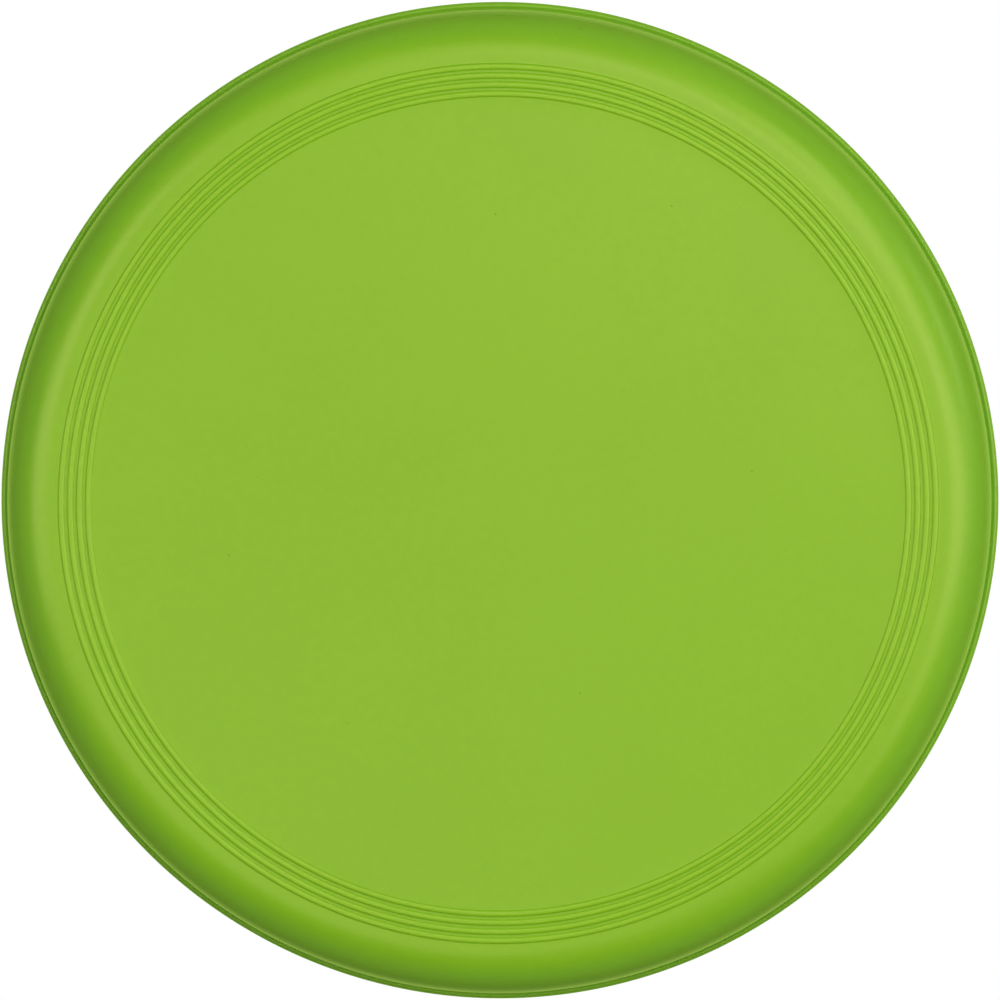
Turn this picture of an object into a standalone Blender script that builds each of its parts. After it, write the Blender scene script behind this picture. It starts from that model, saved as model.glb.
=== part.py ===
"""Flying disc: a one-piece moulded throwing disc, 230 mm across and 22 mm high.

One half section is swept round Z: a level flight plate with four raised concentric ribs,
a rounded shoulder, a short upright wall, and a low beaded lip round the foot of the rim.
The origin is on the disc's axis, in the plane it rests on, with +Z up through the plate.
Sizes are in millimetres and become metres where the mesh is made.
"""

import math

import bpy

MM = 0.001

# Overall
DIAMETER = 230.0
LIP_RADIUS = DIAMETER / 2  # the outermost radius
PLATE_TOP = 21.65  # above the resting plane
PLATE_THICKNESS = 1.6
UNDERSIDE = PLATE_TOP - PLATE_THICKNESS
TURN_STEPS = 72  # facets round the disc
MERGE_DISTANCE = 0.01

# Raised ribs on top of the plate
RIB_COUNT = 4
RIB_FIRST_RADIUS = 93.10  # centre of the innermost rib
RIB_PITCH = 2.055
RIB_HEIGHT = 0.35
RIB_SHOULDER_HEIGHT = 0.52 * RIB_HEIGHT
RIB_HALF_WIDTH = 0.78
RIB_HALF_SHOULDER = 0.62
RIB_HALF_CREST = 0.34

# Shoulder, from the level plate down to the wall
SHOULDER_START = 101.5  # where the plate begins to turn down
WALL_RADIUS = 112.95
SHOULDER_DROP = 14.0
SHOULDER_FOOT = PLATE_TOP - SHOULDER_DROP
SHOULDER_POWER = 2.15  # a little squarer than an ellipse, which is 2
SHOULDER_STEPS = 10

# Lip round the foot of the rim: a low bead, parted from the wall by a shallow valley
LIP_TOP = 3.7
LIP_CREST_RADIUS = 114.15  # where the bead is highest
LIP_OUTER_DROP = 1.1  # how far the bead falls to its outer side
LIP_STEPS = 4
VALLEY_DEPTH = 0.3  # below the crest
VALLEY_FLOOR = LIP_TOP - VALLEY_DEPTH
VALLEY_STEPS = 4
LIP_FILLET = 0.30  # between the valley and the wall
FILLET_STEPS = 2
FOOT_ROUND = 0.9  # radius of both lower edges
FOOT_STEPS = 3

# Hollow side
RIM_THICKNESS = 1.8  # at the foot of the shoulder
MOULD_DRAFT = 0.25  # how much wider the hollow is at its foot
INNER_RADIUS_TOP = WALL_RADIUS - RIM_THICKNESS
INNER_RADIUS_FOOT = INNER_RADIUS_TOP + MOULD_DRAFT
INNER_STEPS = 7

# Gate well under the centre, where the sprue was cut off, with a nub left in its middle
WELL_RADIUS = 4.0
WELL_CHAMFER = 0.3
WELL_DEPTH = 0.4
NUB_RADIUS = 1.2
NUB_HEIGHT = 0.25
NUB_CHAMFER = 0.15

LIME = (0.250, 0.462, 0.036, 1.0)


# Each part of the section is a list of (radius, height) points.


def signed_power(value, exponent):
    return math.copysign(abs(value) ** exponent, value)


def arc(centre, radii, start, end, steps, power=2.0):
    """Superellipse arc between two angles in degrees, with both ends included."""
    points = []
    for i in range(steps + 1):
        angle = math.radians(start + (end - start) * i / steps)
        across = signed_power(math.cos(angle), 2 / power)
        up = signed_power(math.sin(angle), 2 / power)
        points.append((centre[0] + radii[0] * across, centre[1] + radii[1] * up))
    return points


def rib(centre):
    """One raised rib, from its inner foot over the crest to its outer foot."""
    outer_half = [
        (RIB_HALF_CREST, RIB_HEIGHT),
        (RIB_HALF_SHOULDER, RIB_SHOULDER_HEIGHT),
        (RIB_HALF_WIDTH, 0.0),
    ]
    inner_half = [(-offset, rise) for offset, rise in reversed(outer_half)]
    return [(centre + offset, PLATE_TOP + rise) for offset, rise in inner_half + outer_half]


def plate_top():
    """From the axis out over the ribs."""
    points = [(0.0, PLATE_TOP)]
    for i in range(RIB_COUNT):
        points += rib(RIB_FIRST_RADIUS + i * RIB_PITCH)
    return points


def outer_shoulder():
    radii = (WALL_RADIUS - SHOULDER_START, SHOULDER_DROP)
    return arc((SHOULDER_START, SHOULDER_FOOT), radii, 90, 0, SHOULDER_STEPS, SHOULDER_POWER)


def lip():
    """From the foot of the wall, across the valley and over the bead."""
    valley_start = WALL_RADIUS + LIP_FILLET
    fillet_centre = (valley_start, VALLEY_FLOOR + LIP_FILLET)
    points = arc(fillet_centre, (LIP_FILLET, LIP_FILLET), 180, 270, FILLET_STEPS)
    # A half cosine wave rises to the crest; the arcs either side supply its end points.
    for i in range(1, VALLEY_STEPS):
        along = i / VALLEY_STEPS
        radius = valley_start + (LIP_CREST_RADIUS - valley_start) * along
        rise = VALLEY_DEPTH * (0.5 - 0.5 * math.cos(math.pi * along))
        points.append((radius, VALLEY_FLOOR + rise))
    bead_centre = (LIP_CREST_RADIUS, LIP_TOP - LIP_OUTER_DROP)
    bead_radii = (LIP_RADIUS - LIP_CREST_RADIUS, LIP_OUTER_DROP)
    return points + arc(bead_centre, bead_radii, 90, 0, LIP_STEPS)


def foot():
    """The rounded outer and inner lower edges, with the resting face between them."""
    radii = (FOOT_ROUND, FOOT_ROUND)
    outer = arc((LIP_RADIUS - FOOT_ROUND, FOOT_ROUND), radii, 0, -90, FOOT_STEPS)
    inner = arc((INNER_RADIUS_FOOT + FOOT_ROUND, FOOT_ROUND), radii, 270, 180, FOOT_STEPS)
    return outer + inner


def inner_shoulder():
    radii = (INNER_RADIUS_TOP - SHOULDER_START, UNDERSIDE - SHOULDER_FOOT)
    return arc((SHOULDER_START, SHOULDER_FOOT), radii, 0, 90, INNER_STEPS, SHOULDER_POWER)


def gate_well():
    """From the well's edge in to the axis."""
    well_floor = UNDERSIDE + WELL_DEPTH
    nub_face = well_floor - NUB_HEIGHT
    return [
        (WELL_RADIUS + WELL_CHAMFER, UNDERSIDE),
        (WELL_RADIUS, well_floor),
        (NUB_RADIUS, well_floor),
        (NUB_RADIUS - NUB_CHAMFER, nub_face),
        (0.0, nub_face),
    ]


def section():
    """The half section, from the top centre outwards, down and back under to the axis."""
    return plate_top() + outer_shoulder() + lip() + foot() + inner_shoulder() + gate_well()


def profile_mesh(name, points):
    """An open chain of edges in the XZ plane, in metres."""
    vertices = [(radius * MM, 0.0, height * MM) for radius, height in points]
    edges = [(i, i + 1) for i in range(len(points) - 1)]
    mesh = bpy.data.meshes.new(name)
    mesh.from_pydata(vertices, edges, [])
    mesh.update()
    return mesh


def turned(name, points, collection, material):
    """A profile turned round Z; merging closes it on the axis and at the seam."""
    obj = bpy.data.objects.new(name, profile_mesh(name, points))
    collection.objects.link(obj)
    screw = obj.modifiers.new("turn", "SCREW")
    screw.axis = "Z"
    screw.angle = math.tau
    screw.steps = TURN_STEPS
    screw.render_steps = TURN_STEPS
    screw.use_merge_vertices = True
    screw.merge_threshold = MERGE_DISTANCE * MM
    screw.use_smooth_shade = True
    obj.data.materials.append(material)


def moulded_plastic(name, colour, roughness, ior):
    material = bpy.data.materials.new(name)
    material.use_nodes = True
    shader = material.node_tree.nodes["Principled BSDF"]
    shader.inputs["Base Color"].default_value = colour
    shader.inputs["Roughness"].default_value = roughness
    shader.inputs["Metallic"].default_value = 0.0
    shader.inputs["IOR"].default_value = ior
    material.diffuse_color = colour
    return material


def main():
    for obj in list(bpy.data.objects):
        bpy.data.objects.remove(obj, do_unlink=True)
    collection = bpy.data.collections.new("flying_disc")
    bpy.context.scene.collection.children.link(collection)
    plastic = moulded_plastic("lime_plastic", colour=LIME, roughness=0.4, ior=1.49)
    turned("disc_body", section(), collection, plastic)


main()
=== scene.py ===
"""A lime green flying disc, one turned plastic moulding, lying in a plain pale studio.

The disc's axis is Z: it rests on its lip's foot at z = 0, with the ribbed plate on top and the
hollow side down. Lengths of the moulding are in millimetres, and Blender is given metres.
"""

import math
from types import SimpleNamespace

import bpy
from mathutils import Matrix, Vector, noise


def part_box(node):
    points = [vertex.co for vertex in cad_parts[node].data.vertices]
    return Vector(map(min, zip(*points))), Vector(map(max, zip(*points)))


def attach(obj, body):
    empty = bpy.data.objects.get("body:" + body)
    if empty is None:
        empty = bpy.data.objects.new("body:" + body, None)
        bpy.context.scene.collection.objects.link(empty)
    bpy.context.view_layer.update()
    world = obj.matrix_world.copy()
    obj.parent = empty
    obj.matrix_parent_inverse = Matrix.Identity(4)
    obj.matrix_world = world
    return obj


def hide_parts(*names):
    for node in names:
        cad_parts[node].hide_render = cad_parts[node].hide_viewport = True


MM = 0.001

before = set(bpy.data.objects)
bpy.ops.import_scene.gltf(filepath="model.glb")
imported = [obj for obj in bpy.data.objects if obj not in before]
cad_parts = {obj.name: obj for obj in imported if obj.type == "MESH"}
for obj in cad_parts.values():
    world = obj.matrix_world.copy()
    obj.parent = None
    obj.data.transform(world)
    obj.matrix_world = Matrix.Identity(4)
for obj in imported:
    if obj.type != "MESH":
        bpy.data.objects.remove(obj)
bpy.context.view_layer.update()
scene = bpy.context.scene

# ---------------------------------------------------------------- the moulding's sizes

body_low, body_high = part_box("disc_body")
LIP_RADIUS = (body_high[0] - body_low[0]) / 2 / MM
RIB_HEIGHT = 0.35
PLATE_TOP = (body_high[2] - body_low[2]) / MM - RIB_HEIGHT
PLATE_WALL = 1.6
UNDER = PLATE_TOP - PLATE_WALL
SEGMENTS = 384

CENTRE_STEP = 0.6  # spacing of the close rings at the middle of the plate
CENTRE_RINGS = 20

RIB_COUNT = 4
RIB_FIRST_RADIUS = 93.10
RIB_PITCH = 2.055
RIB_HALF_WIDTH = 0.78
RIB_POWER = 2.8  # how flat the domed top is
RIB_STEPS = 16
RIB_TOE = 0.04  # reach of the low toe beyond the dome, on both sides
RIB_TOE_RISE = 0.03  # share of the rib's height
RIB_MARGIN = 0.15  # from the dome to the flat plate
PLATE_MARGIN = 0.5  # from the last plate ring to the first dome

SHOULDER_START = 101.5
WALL_RADIUS = 112.95
SHOULDER_DROP = 14.0
SHOULDER_POWER = 2.15
SHOULDER_FOOT = PLATE_TOP - SHOULDER_DROP
SIDE_WALL = 1.8
INNER_FLARE = 0.25
INNER_RADIUS_TOP = WALL_RADIUS - SIDE_WALL
INNER_RADIUS_FOOT = INNER_RADIUS_TOP + INNER_FLARE

LIP_TOP = 3.7
LIP_CREST_RADIUS = 114.15
LIP_OUTER_DROP = 1.1
LIP_FILLET = 0.30
VALLEY_DEPTH = 0.3  # the ring between wall and lip crest
VALLEY_STEPS = 9
FOOT_ROUND = 0.9
PARTING_HEIGHT = 1.75  # the mould's parting line, a fine raised witness round the lip
PARTING_PROUD = 0.05
# height from the parting line, share of its rise
PARTING_OUTLINE = [(0.4, 0), (0.14, 0), (0.05, 0.6), (0, 1), (-0.05, 0.6), (-0.14, 0), (-0.4, 0)]

# the round well in the middle of the underside, with a nub in it
WELL_RADIUS = 4.0
WELL_ROOF = UNDER + 0.4
NUB_RADIUS = 1.2
NUB_END = WELL_ROOF - 0.25

# faint waviness of the cooled plate: height, wavelength, layer of the noise
WAVES = [(0.030, 38.0, 0.7), (0.012, 13.0, 4.2)]
WAVE_EDGE, WAVE_FADE = 90.0, 30.0  # radius where it has died out, and the width it fades over
# the sunk gate mark, as soft rises and dents: x, y, radius, height
GATE_MARKS = [
    (-1.0, 0.4, 3.4, -0.045),
    (2.7, -1.6, 1.8, 0.020),
    (-3.4, 1.3, 1.2, -0.014),
    (-7.5, -2.6, 2.6, -0.014),
    (2.5, -4.6, 3.0, -0.012),
]

# ---------------------------------------------------------------- the moulding's section


def arc(centre, radii, degrees, steps, power=2.0):
    """Points on a superellipse quadrant, both ends included."""

    def reach(share):
        return math.copysign(abs(share) ** (2 / power), share) if abs(share) > 1e-9 else 0.0

    points = []
    for i in range(steps + 1):
        angle = math.radians(degrees[0] + (degrees[1] - degrees[0]) * i / steps)
        radius = centre[0] + radii[0] * reach(math.cos(angle))
        points.append((radius, centre[1] + radii[1] * reach(math.sin(angle))))
    return points


def line(start, end, steps):
    """Points between two ends, leaving both ends out."""
    return [
        tuple(a + (b - a) * i / steps for a, b in zip(start, end))
        for i in range(1, steps)
    ]


def rib(centre):
    """One rib: a low dome with steep feet, and a small toe on each side."""
    toe = RIB_HALF_WIDTH + RIB_TOE
    toe_height = PLATE_TOP + RIB_TOE_RISE * RIB_HEIGHT
    points = [(centre - RIB_HALF_WIDTH - RIB_MARGIN, PLATE_TOP), (centre - toe, toe_height)]
    for i in range(1, RIB_STEPS):
        x = -RIB_HALF_WIDTH * math.cos(math.pi * i / RIB_STEPS)
        rise = 1.0 - (abs(x) / RIB_HALF_WIDTH) ** RIB_POWER
        points.append((centre + x, PLATE_TOP + RIB_HEIGHT * rise))
    return points + [(centre + toe, toe_height)]


def top_outline():
    """From the top centre over the ribs and the shoulder to the top of the side wall."""
    points = [(CENTRE_STEP * i, PLATE_TOP) for i in range(CENTRE_RINGS + 1)]
    plate_edge = (RIB_FIRST_RADIUS - RIB_HALF_WIDTH - PLATE_MARGIN, PLATE_TOP)
    points += line(points[-1], plate_edge, steps=24)
    for i in range(RIB_COUNT):
        points += rib(RIB_FIRST_RADIUS + i * RIB_PITCH)
    ribs_end = (points[-1][0] + RIB_MARGIN - RIB_TOE, PLATE_TOP)
    points += [ribs_end] + line(ribs_end, (SHOULDER_START, PLATE_TOP), steps=3)
    return points + arc(
        centre=(SHOULDER_START, SHOULDER_FOOT),
        radii=(WALL_RADIUS - SHOULDER_START, SHOULDER_DROP),
        degrees=(90, 0),
        steps=34,
        power=SHOULDER_POWER,
    )


def lip_outline():
    """Down the wall, across the valley, round the lip and under its foot."""
    valley, start = LIP_TOP - VALLEY_DEPTH, WALL_RADIUS + LIP_FILLET
    fillet_top = valley + LIP_FILLET
    points = line((WALL_RADIUS, SHOULDER_FOOT), (WALL_RADIUS, fillet_top), steps=3)
    points += arc((start, fillet_top), (LIP_FILLET, LIP_FILLET), degrees=(180, 270), steps=5)
    for i in range(1, VALLEY_STEPS):
        rise = 0.5 - 0.5 * math.cos(math.pi * i / VALLEY_STEPS)
        radius = start + (LIP_CREST_RADIUS - start) * i / VALLEY_STEPS
        points.append((radius, valley + VALLEY_DEPTH * rise))
    points += arc(
        centre=(LIP_CREST_RADIUS, LIP_TOP - LIP_OUTER_DROP),
        radii=(LIP_RADIUS - LIP_CREST_RADIUS, LIP_OUTER_DROP),
        degrees=(90, 0),
        steps=10,
    )
    for height, share in PARTING_OUTLINE:
        points.append((LIP_RADIUS + share * PARTING_PROUD, PARTING_HEIGHT + height))
    rounding = (FOOT_ROUND, FOOT_ROUND)
    outer, inner = LIP_RADIUS - FOOT_ROUND, INNER_RADIUS_FOOT + FOOT_ROUND
    points += arc((outer, FOOT_ROUND), rounding, degrees=(0, -90), steps=7)
    return points + arc((inner, FOOT_ROUND), rounding, degrees=(270, 180), steps=7)


def under_outline():
    """Up the inside of the wall and back under the plate to the axis, well and nub included."""
    inner_foot = (INNER_RADIUS_FOOT, FOOT_ROUND)
    points = line(inner_foot, (INNER_RADIUS_TOP, SHOULDER_FOOT), steps=3)
    points += arc(
        centre=(SHOULDER_START, SHOULDER_FOOT),
        radii=(INNER_RADIUS_TOP - SHOULDER_START, UNDER - SHOULDER_FOOT),
        degrees=(0, 90),
        steps=18,
        power=SHOULDER_POWER,
    )
    points += line((SHOULDER_START, UNDER), (WELL_RADIUS + 0.9, UNDER), steps=20)
    return points + [
        (WELL_RADIUS + 0.45, UNDER),
        (WELL_RADIUS + 0.2, UNDER + 0.04),
        (WELL_RADIUS + 0.06, UNDER + 0.14),
        (WELL_RADIUS, WELL_ROOF - 0.1),
        (WELL_RADIUS - 0.1, WELL_ROOF),
        (NUB_RADIUS + 0.9, WELL_ROOF),
        (NUB_RADIUS + 0.12, WELL_ROOF - 0.01),
        (NUB_RADIUS, WELL_ROOF - 0.08),
        (NUB_RADIUS - 0.05, NUB_END + 0.06),
        (NUB_RADIUS - 0.15, NUB_END),
        (0.0, NUB_END),
    ]


# ---------------------------------------------------------------- the moulding's mesh


def plate_lift(x, y, radius):
    """What the cooled moulding adds to the plate's height: waviness and the gate mark."""
    fade = min(1.0, max(0.0, (WAVE_EDGE - radius) / WAVE_FADE))
    wave = sum(
        height * noise.noise(Vector((x / length, y / length, layer)))
        for height, length, layer in WAVES
    )
    gate = sum(
        height * math.exp(-((x - mark_x) ** 2 + (y - mark_y) ** 2) / size**2)
        for mark_x, mark_y, size, height in GATE_MARKS
    )
    return fade * fade * (3 - 2 * fade) * wave + gate


def turned_vertex(radius, height, segment):
    """A point of the section turned to its segment, in metres."""
    angle = math.tau * segment / SEGMENTS
    x, y = radius * math.cos(angle), radius * math.sin(angle)
    lift = plate_lift(x, y, radius) if abs(height - PLATE_TOP) < 1e-6 else 0.0
    return x * MM, y * MM, (height + lift) * MM


def turned_mesh(name, points):
    """A closed polar mesh: a ring of vertices per point, and one vertex at each end on the axis."""
    verts = [turned_vertex(*points[0], 0)]
    for point in points[1:-1]:
        verts += [turned_vertex(*point, segment) for segment in range(SEGMENTS)]
    verts.append(turned_vertex(*points[-1], 0))

    sides = [(i, (i + 1) % SEGMENTS) for i in range(SEGMENTS)]
    faces = [(0, 1 + i, 1 + j) for i, j in sides]
    for ring in range(len(points) - 3):
        outer = 1 + ring * SEGMENTS
        after = outer + SEGMENTS
        faces += [(outer + i, after + i, after + j, outer + j) for i, j in sides]
    end = len(verts) - 1
    last = end - SEGMENTS
    faces += [(last + i, end, last + j) for i, j in sides]

    mesh = bpy.data.meshes.new(name)
    mesh.from_pydata(verts, [], faces)
    mesh.validate()
    mesh.shade_smooth()
    return mesh


section = top_outline() + lip_outline() + under_outline()
disc = bpy.data.objects.new("disc_moulding", turned_mesh("disc_moulding", section))
scene.collection.objects.link(disc)

# ---------------------------------------------------------------- writing node trees


class Nodes:
    """A short way to write the node tree of a material or a world."""

    def __init__(self, owner):
        owner.use_nodes = True
        self.tree = owner.node_tree

    def feed(self, node, inputs):
        """Links sockets to a node's inputs, and sets plain values."""
        for key, value in inputs.items():
            if isinstance(value, bpy.types.NodeSocket):
                self.tree.links.new(value, node.inputs[key])
            else:
                node.inputs[key].default_value = value

    def node(self, kind, inputs=None, **settings):
        node = self.tree.nodes.new(kind)
        for key, value in settings.items():
            setattr(node, key, value)
        self.feed(node, inputs or {})
        return node

    def socket(self, kind, inputs=None, output=0, **settings):
        return self.node(kind, inputs, **settings).outputs[output]

    def finish(self, output, surface):
        self.feed(self.tree.nodes[output], {"Surface": surface})

    def coordinates(self, output):
        return self.socket("ShaderNodeTexCoord", output=output)

    def split(self, vector):
        return self.node("ShaderNodeSeparateXYZ", {0: vector}).outputs

    def math(self, operation, a, b=0.0):
        return self.socket("ShaderNodeMath", {0: a, 1: b}, operation=operation)

    def times(self, a, b):
        return self.math("MULTIPLY", a, b)

    def plus(self, a, b):
        return self.math("ADD", a, b)

    def length(self, x, y):
        return self.math("SQRT", self.plus(self.times(x, x), self.times(y, y)))

    def ramp(self, value, over, to=(0.0, 1.0)):
        """A smooth step between the two results in `to`, as the value runs over a range."""
        return self.socket(
            "ShaderNodeMapRange",
            {0: value, 1: over[0], 2: over[1], 3: to[0], 4: to[1]},
            interpolation_type="SMOOTHSTEP",
        )

    def ramp_mm(self, value, over, to=(0.0, 1.0)):
        return self.ramp(value, (over[0] * MM, over[1] * MM), to)

    def mix(self, factor, a, b, blend="MIX"):
        inputs = {0: factor, 6: a, 7: b}
        return self.socket("ShaderNodeMix", inputs, 2, data_type="RGBA", blend_type=blend)

    def multiply(self, a, b):
        return self.mix(1.0, a, b, blend="MULTIPLY")

    def tint(self, mask, colour, tint):
        return self.mix(mask, colour, self.multiply(colour, (*tint, 1)))

    def noise(self, place, scale, detail, roughness=0.5):
        inputs = {"Vector": place, "Scale": scale, "Detail": detail, "Roughness": roughness}
        return self.socket("ShaderNodeTexNoise", inputs, "Fac")

    def bump(self, height, distance, strength, under=None):
        inputs = {"Strength": strength, "Distance": distance, "Height": height}
        if under is not None:
            inputs["Normal"] = under
        return self.socket("ShaderNodeBump", inputs)

    def facing(self):
        return self.socket("ShaderNodeLayerWeight", {"Blend": 0.5}, "Facing")

    def light_path(self, output):
        return self.socket("ShaderNodeLightPath", output=output)

    def emission(self, colour, strength):
        return self.socket("ShaderNodeEmission", {"Color": colour, "Strength": strength})

    def camera_split(self, seen, lighting):
        """One shader for what the camera sees, another for the light sent elsewhere."""
        inputs = {0: self.light_path("Is Camera Ray"), 1: lighting, 2: seen}
        return self.socket("ShaderNodeMixShader", inputs)


# ---------------------------------------------------------------- the plastic

PLASTIC = (0.184, 0.450, 0.020, 1.0)  # lime green, the same all through the moulding
DRIFT_SHADES = (0.985, 1.015)  # darkest and lightest share of the plastic's colour
MOTTLE_TINTS = ((0.984, 0.986, 0.975, 1), (1.016, 1.014, 1.025, 1))
# painted highlight: the rib crests are painted lighter
CREST_HIGHLIGHT_TINT = (1.12, 1.07, 1.15)
# painted shade: the grooves between ribs are painted darker
GROOVE_SHADE_TINT = (0.89, 0.91, 0.89)
SIDE_SHADE_TINT = (0.95, 1.0, 1.8)  # painted shade colour: the steep side and the lip get the cooler hue of their shade
SIDE_SHADE_TINT_OVER = (103.5, 108.5)  # radii where that tint fades in
SPECK_COLOUR = (0.07, 0.12, 0.015, 1)
RUBBED_COLOUR = (0.42, 0.58, 0.20, 1)
SPECK_SHARE = 0.5
EDGE_RUB, FOOT_RUB = 0.12, 0.45  # strength of the wear on the lip's edge and on the foot
STREAKS_ACROSS, STREAKS_AROUND = 3000.0, 40.0  # texture scale per metre and per radian

ROUGHNESS = 0.34
DRIFT_ROUGHNESS, MOTTLE_ROUGHNESS = 0.015, 0.012  # how far each moves it, up and down
RUB_ROUGHNESS, HOLLOW_ROUGHNESS = 0.5, 0.08  # added where rubbed, and on the hollow side
GRAZE_POLISH = 0.75  # how much smoother the wall looks when seen along its surface
PLASTIC_IOR = 1.49


def plastic_zones(nodes):
    """Coordinates, and masks for the parts of the disc that look different."""
    place = nodes.coordinates("Object")
    x, y, height = nodes.split(place)
    across = nodes.length(x, y)

    # the rib crests, which get a painted highlight
    crest_over = (PLATE_TOP + 0.35 * RIB_HEIGHT, PLATE_TOP + 1.02 * RIB_HEIGHT)
    crest_highlight = nodes.ramp_mm(height, over=crest_over)

    # the grooves between ribs, darkened with painted shade: turn counts ribs outwards from the
    # first
    from_first = nodes.math("SUBTRACT", across, RIB_FIRST_RADIUS * MM)
    turn = nodes.math("DIVIDE", from_first, RIB_PITCH * MM)
    middle = nodes.math("ABSOLUTE", nodes.math("SUBTRACT", nodes.math("FRACT", turn), 0.5))
    between = nodes.times(
        nodes.ramp(turn, over=(0.0, 0.1)),
        nodes.ramp(turn, over=(RIB_COUNT - 1.0, RIB_COUNT - 1.1)),
    )
    above = nodes.ramp_mm(height, over=(PLATE_TOP - 0.8, PLATE_TOP - 0.4))
    in_middle = nodes.ramp(middle, over=(0.15, 0.05))
    groove_shade = nodes.times(nodes.times(in_middle, between), above)

    edge = nodes.times(
        nodes.ramp_mm(across, over=(LIP_RADIUS - 0.35, LIP_RADIUS - 0.02)),
        nodes.ramp_mm(height, over=(PARTING_HEIGHT + 0.3, LIP_TOP - 0.6)),
    )
    foot = nodes.ramp_mm(height, over=(0.22, 0.03))
    upward = nodes.split(nodes.coordinates("Normal"))[2]
    hollow = nodes.times(
        nodes.ramp(upward, over=(-0.2, -0.7)),
        nodes.ramp_mm(height, over=(LIP_TOP + 2, LIP_TOP + 4)),
    )
    return SimpleNamespace(
        place=place, x=x, y=y, height=height, across=across, upward=upward,
        crest_highlight=crest_highlight, groove_shade=groove_shade, edge=edge, foot=foot, hollow=hollow,
    )


def plastic_colour(nodes, zones, drift, mottle):
    """Slow drift of the pigment, a finer mottle, a painted highlight on the rib crests, painted
    shade in the rib grooves and on the steep side, rare dark specks of regrind.
    """
    dark, light = ((*(share * c for c in PLASTIC[:3]), 1.0) for share in DRIFT_SHADES)
    tone = nodes.mix(nodes.ramp(drift, over=(0.3, 0.7)), dark, light)
    fine = nodes.mix(nodes.ramp(mottle, over=(0.33, 0.67)), *MOTTLE_TINTS)
    colour = nodes.multiply(tone, fine)
    # painted highlight on the rib crests
    colour = nodes.tint(zones.crest_highlight, colour, CREST_HIGHLIGHT_TINT)
    # painted shade in the grooves between the ribs
    colour = nodes.tint(zones.groove_shade, colour, GROOVE_SHADE_TINT)
    # painted shade colour: the cooler hue of shade on the steep side and the lip
    colour = nodes.tint(nodes.ramp_mm(zones.across, over=SIDE_SHADE_TINT_OVER), colour, SIDE_SHADE_TINT)

    cell_inputs = {"Vector": zones.place, "Scale": 100.0, "Randomness": 1.0}
    cells = nodes.node("ShaderNodeTexVoronoi", cell_inputs).outputs
    chance = nodes.socket("ShaderNodeSeparateColor", {0: cells["Color"]})
    speck = nodes.times(nodes.ramp(cells["Distance"], over=(0.030, 0.016)), chance)
    return nodes.mix(nodes.times(speck, SPECK_SHARE), colour, SPECK_COLOUR)


def rubbed_places(nodes, zones, nicks):
    """Wear on the lip's outer edge in short nicks, and in streaks round the foot."""
    rubbed = nodes.times(zones.edge, nodes.ramp(nicks, over=(0.60, 0.70)))
    angle = nodes.math("ARCTAN2", zones.y, zones.x)
    ring_inputs = {
        0: nodes.times(zones.across, STREAKS_ACROSS),
        1: nodes.times(angle, STREAKS_AROUND),
        2: zones.height,
    }
    around = nodes.socket("ShaderNodeCombineXYZ", ring_inputs)
    streaks = nodes.noise(around, scale=1.0, detail=4.0)
    worn = nodes.times(zones.foot, nodes.ramp(streaks, over=(0.40, 0.62)))
    return nodes.math("MAXIMUM", nodes.times(rubbed, EDGE_RUB), nodes.times(worn, FOOT_RUB))


def plastic_bump(nodes, zones, nicks, rub):
    """The mould's fine matte texture, lathe rings on the hollow side, and the rubbed nicks."""
    grain = nodes.noise(zones.place, scale=3000.0, detail=2.0, roughness=0.6)
    pits = nodes.noise(zones.place, scale=1100.0, detail=3.0, roughness=0.65)
    radial = nodes.socket("ShaderNodeCombineXYZ", {0: zones.across})
    rings = nodes.noise(radial, scale=1300.0, detail=2.0)
    bump = nodes.bump(grain, distance=0.000012, strength=0.16)
    bump = nodes.bump(pits, distance=0.00002, strength=0.13, under=bump)
    rings = nodes.times(rings, zones.hollow)
    bump = nodes.bump(rings, distance=0.00006, strength=0.35, under=bump)
    return nodes.bump(nodes.times(rub, nicks), distance=0.00005, strength=0.5, under=bump)


def plastic_roughness(nodes, zones, drift, mottle, rub):
    drift_to = (ROUGHNESS - DRIFT_ROUGHNESS, ROUGHNESS + DRIFT_ROUGHNESS)
    mottle_to = (-MOTTLE_ROUGHNESS, MOTTLE_ROUGHNESS)
    rough = nodes.ramp(drift, over=(0.3, 0.7), to=drift_to)
    rough = nodes.plus(rough, nodes.ramp(mottle, over=(0.3, 0.7), to=mottle_to))
    rough = nodes.plus(rough, nodes.times(rub, RUB_ROUGHNESS))
    rough = nodes.plus(rough, nodes.times(zones.hollow, HOLLOW_ROUGHNESS))
    along = nodes.ramp(nodes.facing(), over=(0.50, 0.78))
    steep = nodes.ramp(nodes.math("ABSOLUTE", zones.upward), over=(0.62, 0.45))
    polish = nodes.times(nodes.times(along, steep), GRAZE_POLISH)
    return nodes.times(rough, nodes.math("SUBTRACT", 1.0, polish))


def lime_plastic():
    material = bpy.data.materials.new("lime_plastic")
    nodes = Nodes(material)
    shader = nodes.tree.nodes["Principled BSDF"]
    zones = plastic_zones(nodes)
    drift = nodes.noise(zones.place, scale=24.0, detail=3.0, roughness=0.55)
    mottle = nodes.noise(zones.place, scale=420.0, detail=5.0, roughness=0.65)
    colour = plastic_colour(nodes, zones, drift, mottle)
    nicks = nodes.noise(zones.place, scale=240.0, detail=3.0, roughness=0.7)
    rub = rubbed_places(nodes, zones, nicks)
    nodes.feed(shader, {"Base Color": PLASTIC})  # the plain value under the link
    nodes.feed(shader, {
        "Base Color": nodes.mix(rub, colour, RUBBED_COLOUR),
        "Normal": plastic_bump(nodes, zones, nicks, rub),
        "Roughness": plastic_roughness(nodes, zones, drift, mottle, rub),
        "IOR": PLASTIC_IOR,
    })
    return material


disc.data.materials.append(lime_plastic())
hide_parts("disc_body")
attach(disc, "root")

# ---------------------------------------------------------------- the floor

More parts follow.
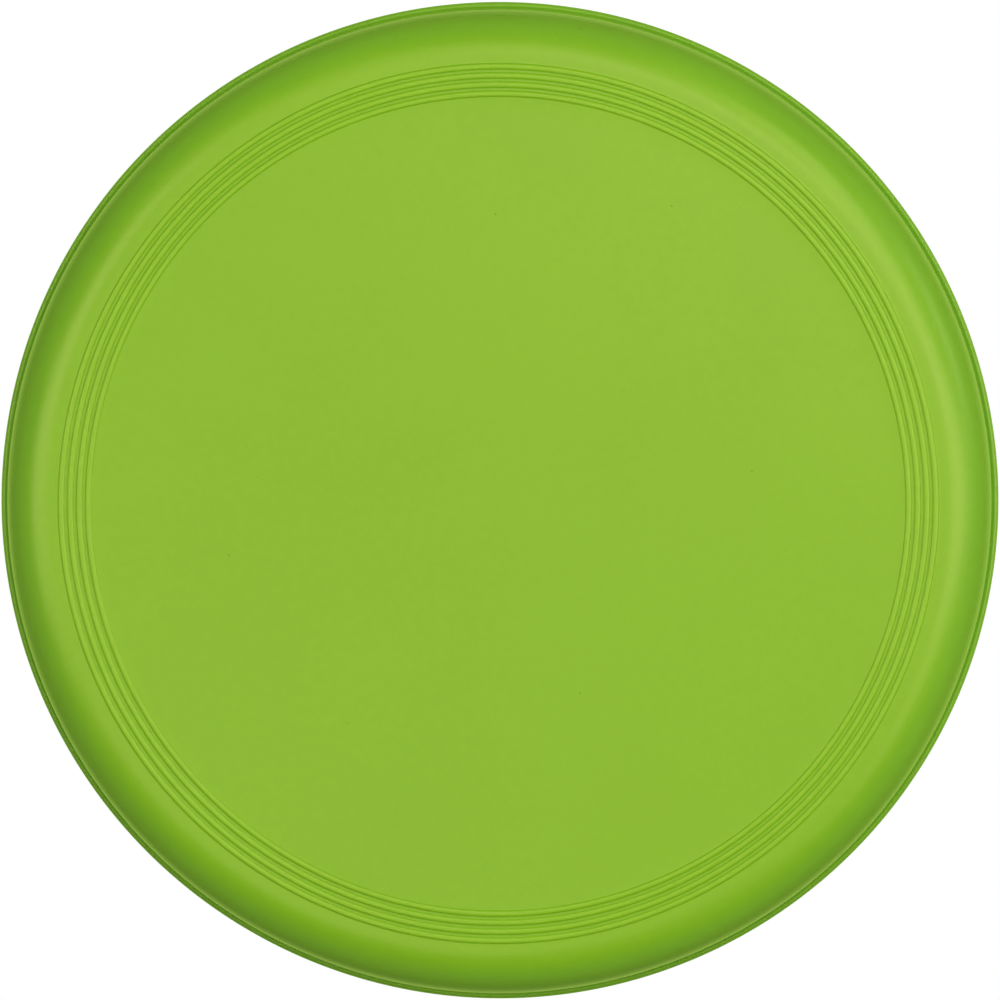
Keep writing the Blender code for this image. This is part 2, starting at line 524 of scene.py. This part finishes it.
WHITE = (1.0, 1.0, 1.0, 1)
FLOOR_HALF = 3  # metres
FLOOR_DROP = 0.0001  # metres, keeps it clear of the disc's foot
CARD_GREY = (0.12, 0.12, 0.12, 1)
CARD_GLOW_COLOUR = (0.60, 1.0, 0.12, 1)
CARD_GLOW_FAR, CARD_GLOW_NEAR = 0.18, 0.60  # light the card sends up, further off and by the disc
SHADOW_CARD = (0.37, 0.44, 0.75, 1)  # diffuse part that shows the shadow
SHADOW_BASE = 0.52  # even light under that shadow


def pale_floor():
    """White card, over-exposed from straight above, with the shadow left in slanted views."""
    material = bpy.data.materials.new("pale_floor")
    nodes = Nodes(material)
    shader = nodes.tree.nodes["Principled BSDF"]
    x, y, _ = nodes.split(nodes.coordinates("Object"))
    away = nodes.length(x, y)
    glow_over = (LIP_RADIUS + 22, LIP_RADIUS + 5)
    nodes.feed(shader, {
        "Base Color": CARD_GREY,
        "Roughness": 0.9,
        "Emission Color": CARD_GLOW_COLOUR,
        "Emission Strength": nodes.ramp_mm(away, glow_over, to=(CARD_GLOW_FAR, CARD_GLOW_NEAR)),
    })
    matte = nodes.socket("ShaderNodeBsdfDiffuse", {"Color": SHADOW_CARD})
    base = nodes.emission(WHITE, strength=SHADOW_BASE)
    shaded = nodes.socket("ShaderNodeAddShader", {0: matte, 1: base})
    slanted = nodes.ramp(nodes.facing(), over=(0.04, 0.35))
    near = nodes.ramp_mm(away, over=(LIP_RADIUS + 250, LIP_RADIUS + 60))
    share = nodes.times(slanted, near)
    white = nodes.emission(WHITE, strength=1.0)
    seen = nodes.socket("ShaderNodeMixShader", {0: share, 1: white, 2: shaded})
    nodes.finish("Material Output", nodes.camera_split(seen, shader.outputs[0]))
    return material


corners = [(x * FLOOR_HALF, y * FLOOR_HALF, 0) for x, y in ((-1, -1), (1, -1), (1, 1), (-1, 1))]
floor_mesh = bpy.data.meshes.new("floor")
floor_mesh.from_pydata(corners, [], [(0, 1, 2, 3)])
floor = bpy.data.objects.new("floor", floor_mesh)
floor.location.z = -FLOOR_DROP
scene.collection.objects.link(floor)
floor_mesh.materials.append(pale_floor())

# ---------------------------------------------------------------- the lights

# Square soft boxes of one warm tint, aimed at the origin. Most of the light comes from the
# right (+X), less from the left, and hardly any from the front (-Y).
LAMP_TINT = (1.17, 1.0, 0.52)
LAMP_DISTANCE, LAMP_SIZE = 1.6, 0.5  # metres
# azimuth from +X towards +Y, elevation, watts
SOFTBOXES = {
    "right": (0, 44, 3.60),
    "right_back": (45, 44, 2.95),
    "right_low": (0, 24, 1.15),
    "right_rim": (20, 10, 1.80),
    "right_high": (0, 61, 2.95),
    "right_back_high": (30, 61, 2.30),
    "right_front_high": (330, 61, 1.54),
    "back_high": (90, 61, 1.58),
    "left": (180, 44, 3.08),
    "left_high": (180, 61, 2.43),
    "left_back": (135, 44, 0.38),
    "left_back_high": (150, 61, 2.50),
    "top_back": (60, 76, 3.42),
    "top_front": (240, 76, 2.14),
}


def softbox(name, azimuth, elevation, watts):
    light = bpy.data.lights.new(name, "AREA")
    light.shape = "SQUARE"
    light.size = LAMP_SIZE
    light.energy = watts
    light.color = LAMP_TINT
    lamp = bpy.data.objects.new(name, light)
    turn, rise = math.radians(azimuth), math.radians(elevation)
    flat = math.cos(rise)
    outward = Vector((math.cos(turn) * flat, math.sin(turn) * flat, math.sin(rise)))
    lamp.location = outward * LAMP_DISTANCE
    lamp.rotation_mode = "QUATERNION"
    lamp.rotation_quaternion = outward.to_track_quat("Z", "Y")
    lamp.visible_camera = False
    scene.collection.objects.link(lamp)


for name, placing in SOFTBOXES.items():
    softbox(name, *placing)

# ---------------------------------------------------------------- the world

ROOM_LIGHT = 0.05
HORIZON_SHINE = 0.35  # extra light in reflections, near and below the horizon


def studio_world():
    """White to the camera, and a dim room with a bright horizon to the disc."""
    world = bpy.data.worlds.new("studio")
    nodes = Nodes(world)
    wall = nodes.tree.nodes["Background"]
    nodes.feed(wall, {"Color": WHITE})
    level = nodes.split(nodes.coordinates("Generated"))[2]
    horizon = nodes.ramp(level, over=(0.22, 0.05), to=(0.0, HORIZON_SHINE))
    shine = nodes.times(horizon, nodes.light_path("Is Glossy Ray"))
    room_inputs = {"Color": WHITE, "Strength": nodes.plus(shine, ROOM_LIGHT)}
    room = nodes.socket("ShaderNodeBackground", room_inputs)
    nodes.finish("World Output", nodes.camera_split(wall.outputs[0], room))
    return world


scene.world = studio_world()
scene.view_settings.view_transform = "Standard"
scene.view_settings.look = "None"

# ---------------------------------------------------------------- the camera

LEAN, LEAN_AZIMUTH = 2.19, 66.4  # degrees off straight down, and the side it leans to
DISTANCE = 1.1532  # metres
AIM = Vector((0.19, 0.44, 2.8)) * MM

camera_data = bpy.data.cameras.new("camera")
camera_data.lens, camera_data.sensor_width = 180.0, 36.0
camera_data.clip_start, camera_data.clip_end = 0.05, 20.0
camera = bpy.data.objects.new("camera", camera_data)
scene.collection.objects.link(camera)
lean, side = math.radians(LEAN), math.radians(LEAN_AZIMUTH)
reach = math.sin(lean)
back = Vector((reach * math.cos(side), reach * math.sin(side), math.cos(lean)))
up = Vector((0, 1, 0))
up = (up - back * up.dot(back)).normalized()
right = up.cross(back)
camera.rotation_mode = "QUATERNION"
camera.rotation_quaternion = Matrix((right, up, back)).transposed().to_quaternion()
camera.location = AIM + back * DISTANCE
scene.camera = camera
